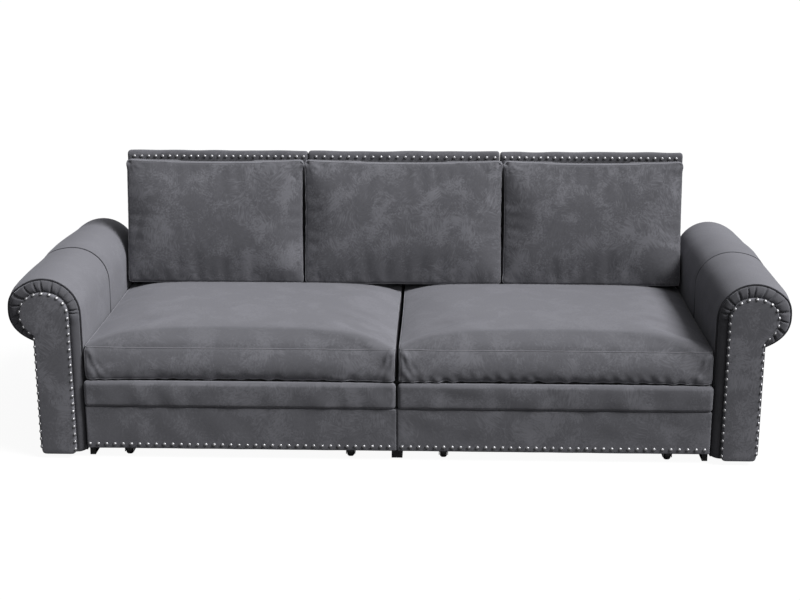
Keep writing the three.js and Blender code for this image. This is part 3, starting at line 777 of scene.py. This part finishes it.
# Seat cushions
# Two boxed cushions of foam in a fibre wrap. The velvet cover has a top, a boxing strip round the
# sides and a flat underside, sewn together with thin corded seams. They lie loose on the decks.
seat_seam_height = 0.110
seat_corner = 0.02
seat_seam_draws = (0, 0.004, 0.004, 0.004)
seat_seam_setback = 0.019
seat_seam_setback_length = 0.12
seat_belly_rise = 0.76
seat_foot_draws = (0, 0.005, 0.016, 0.005)
seat_edge_crown = 0.038
seat_edge_lengths = (0.07, 0.08, 0.036, 0.16)
seat_near_power = 0.66
seat_middle_crown = 0.016
seat_middle_lengths = (0.2, 0.2, 0.2, 0.4)
seat_front_room = -0.001
seat_side_room = 0.003
seat_foot_inset = 0.005
seat_foot_rise = 0.004
seat_ripple = 0.002
seat_folds = ((0.022, 0.03, 0.006, 0.008), (0.052, 0.0, 0.004, 0.006), (0.09, 0.01, 0.0022, 0.007))
crown_steps = (0, 0.01, 0.025, 0.045, 0.07, 0.1, 0.14, 0.19, 0.25, 0.32, 0.4, 0.5, 0.62, 0.75)
corner_steps = 8
side_steps = 48
cloth_voxel = 0.009
cloth_pressure = 4.0
cloth_frames = 20
cloth_stiffness = 14.0
seat_free_front = 0.05
seat_reach = 0.008
seat_slack = 0.0015
seam_radius = 0.0014
seam_pinch_depth = 0.0006
seam_pinch_width = 0.007
# The seam cords are paler than the velvet: a painted highlight along each corded seam.
seam_highlight_color = (0.21, 0.21, 0.23, 1)

velvet_seat = velvet("velvet_seat", 0.3)
velvet_seam_highlight = velvet("velvet_seam_highlight", 0.05, seam_highlight_color)


def cushion_outline(width, length, corner, draws):
    """A cushion seen flat, clockwise from its top left corner. Its sides draw in between the corners,
    by a length each for the top, right, bottom and left."""
    x, y = width / 2 - corner, length / 2 - corner
    middles = [(-x, y), (x, y), (x, -y), (-x, -y)]
    inward = np.array([(0, -1), (-1, 0), (0, 1), (1, 0)])
    parts = []
    for index, middle in enumerate(middles):
        start = 180 - 90 * index
        bend = arc(middle, corner, start, start - 90, corner_steps)
        target = arc(middles[(index + 1) % 4], corner, start - 90, start - 180, 1)[0]
        share = (np.arange(side_steps) / side_steps)[:, None]
        side = stretch(bend[-1], target, side_steps)
        side = side + inward[index] * draws[index] * (1 - (2 * share - 1) ** 2)
        parts += [bend[:-1], side]
    return np.vstack(parts)


def crown_stations(width_share, slope=0.0, steps=10):
    """A crown's rings from the seam in: each ring's share of the outline and of the full rise.
    With no slope it starts upright at the seam, and with more it leans in from there."""
    turns = np.radians(np.linspace(0, 90, steps + 1))
    return [(1 - width_share * (slope * t / turns[-1] + (1 - slope) * (1 - math.cos(t))), math.sin(t))
            for t in turns]


def plump(flat, half, lengths, near_power=1.0):
    """How far a cushion's face has risen at points on it, from 0 at its edges to 1 inside. Each length
    says how fast it rises from one side: left, right, near and far. A near power under 1 makes it start
    steeply at the near side."""
    rise = np.ones(len(flat))
    for axis in (0, 1):
        rise *= np.tanh((half[axis] + flat[:, axis]).clip(0) / lengths[2 * axis]) ** (near_power if axis else 1)
        rise *= np.tanh((half[axis] - flat[:, axis]).clip(0) / lengths[2 * axis + 1])
    return rise


def settle(piece):
    """Makes what a piece's modifiers give into its own mesh."""
    bpy.context.view_layer.update()
    shown = piece.evaluated_get(bpy.context.evaluated_depsgraph_get())
    mesh = bpy.data.meshes.new_from_object(shown)
    piece.modifiers.clear()
    piece.data = mesh
    mesh.shade_smooth()


def points_of(mesh):
    """A mesh's points as an array."""
    flat = np.empty(len(mesh.vertices) * 3)
    mesh.vertices.foreach_get("co", flat)
    return flat.reshape(-1, 3)


def fill_covers(covers, voxel, pressure, reach, slack, stiffness):
    """Stuffs closed covers, each with its seams. A cover is remeshed, blown up as cloth that its seams
    hold, and subdivided. No point moves further than its reach."""
    starts = []
    for cover, seams in covers:
        skin = surface_of(cover)
        remesh = cover.modifiers.new("even_mesh", "REMESH")
        remesh.mode = "VOXEL"
        remesh.voxel_size = voxel
        settle(cover)
        cover.data.vertices.foreach_set("co", laid_on(skin, points_of(cover.data)).ravel())
        starts.append(points_of(cover.data))
        held = cover.vertex_groups.new(name="seams")
        tree = tree_of(np.vstack(seams))
        near = [v.index for v in cover.data.vertices if tree.find(v.co)[2] < voxel * 0.8]
        held.add(near, 1.0, "REPLACE")
        cloth = cover.modifiers.new("stuffing", "CLOTH")
        cloth.settings.quality = 5
        cloth.settings.use_pressure = True
        cloth.settings.uniform_pressure_force = pressure
        cloth.settings.effector_weights.gravity = 0
        cloth.settings.vertex_group_mass = held.name
        cloth.settings.shrink_min = -slack
        cloth.settings.bending_stiffness = stiffness
        cloth.collision_settings.use_collision = False
        cloth.point_cache.frame_start = 1
        cloth.point_cache.frame_end = cloth_frames
    for frame_number in range(1, cloth_frames + 1):
        scene.frame_set(frame_number)
    for (cover, _), start in zip(covers, starts):
        settle(cover)
        move = points_of(cover.data) - start
        length = np.linalg.norm(move, axis=1, keepdims=True).clip(1e-9)
        points = start + move / length * reach * np.tanh(length / reach)
        cover.data.vertices.foreach_set("co", points.ravel())
    for cover, _ in covers:
        cover.vertex_groups.clear()
        finer = cover.modifiers.new("finer", "SUBSURF")
        finer.levels = finer.render_levels = 1
        settle(cover)


def tree_of(points):
    """A search tree over points."""
    tree = KDTree(len(points))
    for index, point in enumerate(points):
        tree.insert(point, index)
    tree.balance()
    return tree


def surface_of(piece):
    """A search tree over a piece's faces."""
    bpy.context.view_layer.update()
    return BVHTree.FromObject(piece, bpy.context.evaluated_depsgraph_get())


def laid_on(skin, path, lift=0.0):
    """A path laid on a surface, and lifted off it."""
    found = [skin.find_nearest(point) for point in path]
    return np.array([place + normal * lift for place, normal, _, _ in found])


def pinch_seams(piece, paths, depth, width):
    """Presses a piece in along its seams."""
    tree = tree_of(np.vstack(paths))
    points = points_of(piece.data)
    normals = np.empty(points.size)
    piece.data.vertex_normals.foreach_get("vector", normals)
    near = (np.array([tree.find(point)[2] for point in points]) / width).clip(0, 1)
    points -= normals.reshape(-1, 3) * (depth * (1 - near ** 2) ** 2)[:, None]
    piece.data.vertices.foreach_set("co", points.ravel())
    piece.data.update()


def sew(piece, name, body, seams, depth=seam_pinch_depth, width=seam_pinch_width, radius=seam_radius):
    """Presses each seam in and lays its cord in the dip. A seam is a path and whether it is closed."""
    skin = surface_of(piece)
    laid = [laid_on(skin, path) for path, _ in seams]
    pinch_seams(piece, laid, depth, width)
    skin = surface_of(piece)
    for closed in (True, False):
        paths = [laid_on(skin, path, radius * 0.3) for path, (_, loop) in zip(laid, seams) if loop == closed]
        if paths:
            seam_cord(f"{name}_{'rim' if closed else 'corners'}", paths, radius, velvet_seam_highlight, body, closed)


def seat_cover(word):
    """A seat cushion's cover before it is stuffed, and its seams."""
    low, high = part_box(f"seat_cushion_{word}")
    middle = np.array(((low.x + high.x) / 2, (low.y + high.y) / 2))
    half = np.array(((high.x - low.x) / 2, (high.y - low.y) / 2))
    box, seam, foot = (cushion_outline(*(2 * half), seat_corner, draws)
                       for draws in ((0, 0, 0, 0), seat_seam_draws, seat_foot_draws))
    seam[:, 1] += seat_seam_setback * ease(-seam[:, 1], half[1] - seat_seam_setback_length, half[1])
    out = ways_out(box)
    room = np.where(out[:, 1] < -0.7, seat_front_room, seat_side_room)
    rings = []

    def add_ring(flat, rise):
        rings.append(np.column_stack([middle + flat, np.full(len(flat), low.z) + rise]))

    add_ring(foot - out * seat_foot_inset * 3, 0)
    add_ring(foot, seat_foot_rise)
    for share in np.linspace(0, 1, 9)[1:-1]:
        belly = math.sin(math.pi * share ** seat_belly_rise) ** 0.8
        flat = (foot * (1 - share) + seam * share) * (1 - belly) + (box - out * room[:, None]) * belly
        add_ring(flat, seat_foot_rise + share * (seat_seam_height - seat_foot_rise))
    for inward in crown_steps:
        share = 1 - inward
        rise = seat_edge_crown * plump(box * share, half, seat_edge_lengths, seat_near_power)
        rise += seat_middle_crown * plump(box * share, half, seat_middle_lengths)
        add_ring(seam * share, seat_seam_height + rise)
    cover = new_piece(f"cushion_seat_{word}", np.vstack(rings), ring_faces(len(rings), len(box)))
    bends = [k * (corner_steps + side_steps) + corner_steps // 2 for k in range(4)]
    uprights = [np.array([ring[k] for ring in rings[1:10]]) for k in bends]
    return turn_outward(cover), rings[1], rings[9], uprights


def crease(piece, folds, ripple, ripple_length, foot_z, foot_width, seed):
    """Presses folds into a cover and lets its lower edge ripple. A fold is its start, its end, its
    depth and its width, and it is deepest at its start."""
    points = points_of(piece.data)
    normals = np.empty(points.size)
    piece.data.vertex_normals.foreach_get("vector", normals)
    press = ripple * waves(points, ripple_length, seed) * np.exp(-((points[:, 2] - foot_z) / foot_width) ** 2)
    for start, end, depth, width in folds:
        start, line = np.array(start), np.array(end) - np.array(start)
        share = ((points - start) @ line / (line @ line)).clip(0, 1)
        gap = np.linalg.norm(points - start - share[:, None] * line, axis=1)
        press -= depth * (1 - share) ** 0.7 * (np.exp(-(gap / width) ** 2)
                                               - 0.5 * np.exp(-((gap - 2 * width) / width) ** 2))
    points += normals.reshape(-1, 3) * press[:, None]
    piece.data.vertices.foreach_set("co", points.ravel())
    piece.data.update()


def denser(path, step, closed):
    """A path with points at even steps."""
    whole = np.vstack([path, path[:1]]) if closed else path
    lengths = np.concatenate([[0], np.cumsum(np.linalg.norm(np.diff(whole, axis=0), axis=1))])
    spots = np.linspace(0, lengths[-1], max(int(lengths[-1] / step), 2) + 1)
    dense = np.column_stack([np.interp(spots, lengths, whole[:, k]) for k in range(3)])
    return dense[:-1] if closed else dense


seat_tops = []


def add_seats():
    made = [(word, *seat_cover(word)) for word, _ in sides]
    covers = []
    for _, cover, foot, rim, _ in made:
        edge = denser(rim, 0.003, True)
        covers.append((cover, [denser(foot, 0.003, True), edge[edge[:, 1] > edge[:, 1].min() + seat_free_front]]))
    fill_covers(covers, cloth_voxel, cloth_pressure, seat_reach, seat_slack, cloth_stiffness)
    for seed, (word, cover, foot, rim, uprights) in enumerate(made):
        low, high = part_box(f"seat_cushion_{word}")
        folds = []
        for x, inward in ((low.x, 1), (high.x, -1)):
            for spread, drop, depth, width in seat_folds:
                start = (x + inward * 0.012, low.y, low.z + seat_seam_height - 0.012)
                folds.append((start, (x + inward * spread, low.y, low.z + drop), depth, width))
        crease(cover, folds, seat_ripple, 0.045, low.z, 0.03, 60 + seed)
        points = points_of(cover.data)
        points[:, 2] = points[:, 2].clip(low.z)
        cover.data.vertices.foreach_set("co", points.ravel())
        cover.data.update()
        seams = [(denser(foot, 0.006, True), True), (denser(rim, 0.006, True), True)]
        seams += [(denser(path, 0.006, False), False) for path in uprights]
        sew(cover, f"seam_seat_{word}", "root", seams)
        seat_tops.append(surface_of(cover))
        dress(cover, velvet_seat, "root", "velvet", f"seat_cushion_{word}")


add_seats()

# Back cushions
# Three loose cushions of fibre in velvet covers, thick at the foot and thin at the top. The front and
# rear panels meet a boxing strip at corded seams, and the cushions lean on the back sections.
back_foot_thickness = 0.104
back_foot_sag = 0.007
back_foot_sag_power = 8
back_foot_band = 0.02
back_foot_gap = 0.0004
back_top_thickness = 0.034
back_front_crown = 0.026
back_front_lengths = (0.06, 0.06, 0.062, 0.075)
back_rear_crown = 0.014
back_crown_share = 0.6
back_corner = 0.012
back_top_draw = 0.009
back_side_draw = 0.003
back_room = 0.007
back_boxing_room = 0.004
back_reach = 0.012
back_slack = 0.004
back_ripple = 0.0005
back_folds = ((0.02, 0.045, 0.003, 0.005), (0.05, 0.045, 0.003, 0.006), (0.075, 0.022, 0.0022, 0.006))

velvet_back = velvet("velvet_back", 0.42)


def back_cover(word):
    """A back cushion's cover before it is stuffed, and its seams."""
    low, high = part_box(f"back_cushion_{word}")
    height = high.z - low.z
    seam_y = high.y - back_rear_crown
    middle = np.array(((low.x + high.x) / 2, (low.z + high.z) / 2))
    draws = (back_top_draw, back_side_draw, 0, back_side_draw)
    box, outline = (cushion_outline(high.x - low.x, height, back_corner, pull) for pull in ((0, 0, 0, 0), draws))
    out = ways_out(outline)
    rings = []

    def add_ring(flat, depth_share, rise):
        spot = middle + flat
        share = (spot[:, 1] - low.z) / height
        thickness = back_foot_thickness * (1 - share) + back_top_thickness * share
        heights = spot[:, 1] - back_foot_sag * (1 - share) ** back_foot_sag_power
        rings.append(np.column_stack([spot[:, 0], seam_y + rise - depth_share * thickness, heights]))

    for share, rise in crown_stations(back_crown_share)[::-1]:
        add_ring(outline * share, 0, rise * (back_rear_crown - back_room))
    for share in (0.25, 0.5, 0.75):
        add_ring(outline - out * back_boxing_room * math.sin(math.pi * share), share, 0)
    front_seam = len(rings)
    for inward in crown_steps:
        rise = plump(box * (1 - inward), np.array((high.x - low.x, height)) / 2, back_front_lengths)
        add_ring(outline * (1 - inward), 1, -rise * back_front_crown)
    cover = new_piece(f"cushion_back_{word}", np.vstack(rings), ring_faces(len(rings), len(outline)))
    bends = [k * (corner_steps + side_steps) + corner_steps // 2 for k in range(4)]
    corners = [np.array([ring[k] for ring in rings[front_seam - 4:front_seam + 1]]) for k in bends]
    return turn_outward(cover), rings[front_seam - 4], rings[front_seam], corners


def stand_on(piece, skins, foot_band, gap):
    """Lifts a piece's lowest points out of the surfaces that it stands on."""
    points = points_of(piece.data)
    for index in np.flatnonzero(points[:, 2] < points[:, 2].min() + foot_band):
        x, y, z = points[index]
        for skin in skins:
            found = skin.ray_cast((x, y, 1), (0, 0, -1))[0]
            if found is not None:
                points[index, 2] = max(points[index, 2], found.z + gap)
    piece.data.vertices.foreach_set("co", points.ravel())
    piece.data.update()


def add_back_cushions():
    made = [(word, *back_cover(word)) for word in thirds]
    fill_covers([(cover, [denser(rear, 0.003, True), denser(front, 0.003, True)])
                 for _, cover, rear, front, _ in made], cloth_voxel, cloth_pressure, back_reach, back_slack, cloth_stiffness)
    for seed, (word, cover, rear, front, corners) in enumerate(made):
        low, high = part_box(f"back_cushion_{word}")
        top = front[:, 2].max()
        folds = []
        for x, inward in ((low.x, 1), (high.x, -1)):
            start = (x + inward * 0.008, front[front[:, 2] > top - 0.02][:, 1].mean(), top - 0.006)
            for spread, drop, depth, width in back_folds:
                end = (x + inward * spread, start[1] - drop * 0.2, top - drop)
                folds.append((start, end, depth, width))
        crease(cover, folds, back_ripple, 0.06, low.z, 0.03, 70 + seed)
        stand_on(cover, seat_tops, back_foot_band, back_foot_gap)
        seams = [(denser(rear, 0.006, True), True), (denser(front, 0.006, True), True)]
        seams += [(denser(path, 0.006, False), False) for path in corners]
        sew(cover, f"seam_back_{word}", f"back_cushion_{word}", seams)
        dress(cover, velvet_back, f"back_cushion_{word}", "velvet", f"back_cushion_{word}")


add_back_cushions()

# Pull-out fronts
# Each bed unit has an upholstered front, a padded panel with a nail row along its foot. Above it lies
# a padded bolster, a little wider and prouder than the panel. Both roll out with the unit.
panel_round = 0.0055
panel_crown = 0.002
panel_step = 0.01
panel_swell = 0.0007
panel_nail_count = 37
panel_nail_spans = {"left": (-1.0215, -0.0265), "right": (0.0169, 1.0131)}
bolster_round = 0.013
bolster_crown = 0.0035
bolster_swell = 0.0012


def round_lines(low, high, radius, step):
    """Grid lines across one side of a padded block, close together over its round edges."""
    near = radius * np.tan(np.radians(np.linspace(45, 0, round_steps + 1)))
    count = max(int((high - low - 2 * radius) / step), 1)
    middle = np.linspace(low + radius, high - radius, count + 1)[1:-1]
    return np.concatenate([low + radius - near, middle, high - radius + near[::-1]])


def padded_block(low, high, radius, step):
    """Points and faces of a block whose edges are all round."""
    lines = [round_lines(low[k], high[k], radius, step) for k in range(3)]
    grid = np.stack(np.meshgrid(*lines, indexing="ij"), axis=-1)
    numbers = np.arange(grid[..., 0].size).reshape(grid.shape[:3])
    faces = []
    for axis, turned in ((0, True), (1, False), (2, True)):
        for end, flip in ((0, turned), (-1, not turned)):
            side = numbers.take(end, axis=axis)
            quads = np.stack([side[:-1, :-1], side[1:, :-1], side[1:, 1:], side[:-1, 1:]], axis=-1)
            quads = quads.reshape(-1, 4)
            faces.append(quads[:, ::-1] if flip else quads)
    faces = np.vstack(faces)
    used, faces = np.unique(faces, return_inverse=True)
    points = grid.reshape(-1, 3)[used]
    core = points.clip(np.array(low) + radius, np.array(high) - radius)
    away = points - core
    length = np.linalg.norm(away, axis=1, keepdims=True)
    return core + away / length.clip(1e-9) * radius * (length > 0), faces.reshape(-1, 4)


def padded_front(name, node, material, body, radius, crown, swell, seed):
    """An upholstered strip: a padded block with a crowned face towards the front."""
    low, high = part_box(node)
    points, faces = padded_block(low, high, radius, panel_step)
    share = (points - np.array(low)) / np.array(high - low)
    forward = (1 - 2 * share[:, 1]).clip(0)
    dome = (16 * share[:, 0] * (1 - share[:, 0]) * share[:, 2] * (1 - share[:, 2])).clip(0) ** 0.4
    points[:, 1] += forward * (crown * (0.5 - dome) + swell * waves(points[:, ::2], 0.11, seed))
    piece = new_piece(name, points, faces)
    return dress(turn_outward(piece), material, body, "velvet", node)


for seed, (word, side) in enumerate(sides):
    unit = f"bed_unit_{word}"
    padded_front(f"pull_front_{word}", f"bed_front_{word}", velvet_seat, unit,
                 panel_round, panel_crown, panel_swell, 40 + seed)
    bolster = padded_front(f"bolster_{word}", f"bed_bolster_{word}", velvet_seat, unit,
                           bolster_round, bolster_crown, bolster_swell, 50 + seed)
    low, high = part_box(f"bed_front_nails_{word}")
    xs = np.linspace(*panel_nail_spans[word], panel_nail_count)
    places = [(x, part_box(f"bed_front_{word}")[0].y, (low.z + high.z) / 2) for x in xs]
    nail_row(f"nails_front_{word}", places, [(0, -1, 0)] * len(xs), unit, f"bed_front_nails_{word}")

# Bed pads
# The sleeping surface of each unit is a foam pad in a striped ticking cover, quilted in channels from
# front to rear. It lies on the plywood platform and is seen only when the unit is out.
pad_round = 0.012
pad_channel_count = 9
pad_channel_depth = 0.006
pad_channel_width = 0.014
pad_crown = 0.004
stripe_pitch = 0.012
ticking_color = (0.2, 0.2, 0.21, 1)
ticking_stripe_color = (0.11, 0.11, 0.125, 1)

ticking, tree = new_material("ticking")
place = add_node(tree, "ShaderNodeTexCoord").outputs["Object"]
across = add_node(tree, "ShaderNodeSeparateXYZ", {0: place}).outputs[0]
stripe = sum_node(tree, "SINE", sum_node(tree, "MULTIPLY", across, 2 * math.pi / stripe_pitch))
thread = noise_node(tree, stretched(tree, place, (6.0, 1.0, 6.0)), 260.0, 3.0)
share = sum_node(tree, "ADD", range_node(tree, stripe, 0.2, 0.5), sum_node(tree, "MULTIPLY", thread, 0.25))
color = mix_node(tree, share, ticking_color, ticking_stripe_color)
surface(tree, color, range_node(tree, thread, 0.2, 0.8, 0.8, 0.95), thread, 0.0004)


def bed_pad(word):
    """The pad: a round-edged block whose top dips along each quilted channel."""
    low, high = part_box(f"bed_pad_{word}")
    points, faces = padded_block(low, high, pad_round, panel_step)
    share = (points - np.array(low)) / np.array(high - low)
    phase = share[:, 0] * pad_channel_count
    gap = np.abs(phase - np.round(phase)) * (high.x - low.x) / pad_channel_count
    inside = (np.round(phase) > 0) & (np.round(phase) < pad_channel_count)
    dip = np.exp(-(gap / pad_channel_width) ** 2) * inside
    upward = (2 * share[:, 2] - 1).clip(0)
    dome = (4 * share[:, 1] * (1 - share[:, 1])).clip(0) ** 0.3
    points[:, 2] += upward * (pad_crown * (dome - 1) - pad_channel_depth * dip * dome)
    piece = new_piece(f"mattress_pad_{word}", points, faces)
    dress(turn_outward(piece), ticking, f"bed_unit_{word}", "ticking", f"bed_pad_{word}")


for word in words:
    bed_pad(word)

# Casters
# Each unit rolls on four casters: a bent and zinc-plated steel fork with its axle riveted through it,
# and a black nylon wheel with a round tread and a shallow dish in each face.
wheel_tread_round = 0.009
wheel_dish_depth = 0.002
wheel_dish_share = 0.68
wheel_hub_share = 0.34
wheel_sides = 40
axle_clearance_radius = 0.0033
zinc_color = (0.5, 0.5, 0.52, 1)
zinc_dull_color = (0.3, 0.3, 0.31, 1)
nylon_color = (0.01, 0.01, 0.011, 1)
nylon_worn_color = (0.05, 0.05, 0.05, 1)

zinc, tree = new_material("zinc")
worn = use_group(tree, scuffs, Fineness=120.0, Amount=0.6)
color = mix_node(tree, worn["Mask"], zinc_color, zinc_dull_color)
surface(tree, color, range_node(tree, worn["Grain"], 0.2, 0.8, 0.3, 0.5), worn["Grain"], 0.0001,
        **{"Metallic": 1.0})
nylon, tree = new_material("nylon")
worn = use_group(tree, scuffs, Fineness=90.0, Amount=0.4)
color = mix_node(tree, worn["Mask"], nylon_color, nylon_worn_color)
surface(tree, color, range_node(tree, worn["Grain"], 0.2, 0.8, 0.38, 0.6), worn["Grain"], 0.0002)

caster_names = [f"{word}_{row}_{end}" for word in words for row in ("front", "rear") for end in ends]
finish_nodes(zinc, [f"caster_fork_{name}" for name in caster_names])


def caster_wheel(name):
    """A wheel turned about X: its bore, hub, dish, rim and round tread."""
    low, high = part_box(f"caster_wheel_{name}")
    middle = (low + high) / 2
    half, radius = (high.x - low.x) / 2, (high.z - low.z) / 2
    r = wheel_tread_round
    face = [(half, axle_clearance_radius), (half, radius * wheel_hub_share)]
    face += [(half - wheel_dish_depth, radius * (wheel_hub_share + 0.06))]
    face += [(half - wheel_dish_depth, radius * (wheel_dish_share - 0.12))]
    tread = [(half - r + r * math.cos(t), radius - r + r * math.sin(t))
             for t in np.radians(np.linspace(0, 90, 2 * round_steps + 1))]
    right = face + tread
    profile = right + [(-x, ring) for x, ring in right[::-1]]
    turns = np.linspace(0, 2 * math.pi, wheel_sides, endpoint=False)
    rings = [np.column_stack([np.full(wheel_sides, middle.x + x), middle.y + ring * np.cos(turns),
                              middle.z + ring * np.sin(turns)]) for x, ring in profile + profile[:1]]
    count = len(profile)
    faces = ring_faces(count, wheel_sides, False)
    last = (count - 1) * wheel_sides
    faces += [(last + i, last + (i + 1) % wheel_sides, (i + 1) % wheel_sides, i) for i in range(wheel_sides)]
    piece = new_piece(f"wheel_{name}", np.vstack(rings[:-1]), faces)
    dress(turn_outward(piece), nylon, f"wheel_{name}", "nylon", f"caster_wheel_{name}")


for name in caster_names:
    caster_wheel(name)
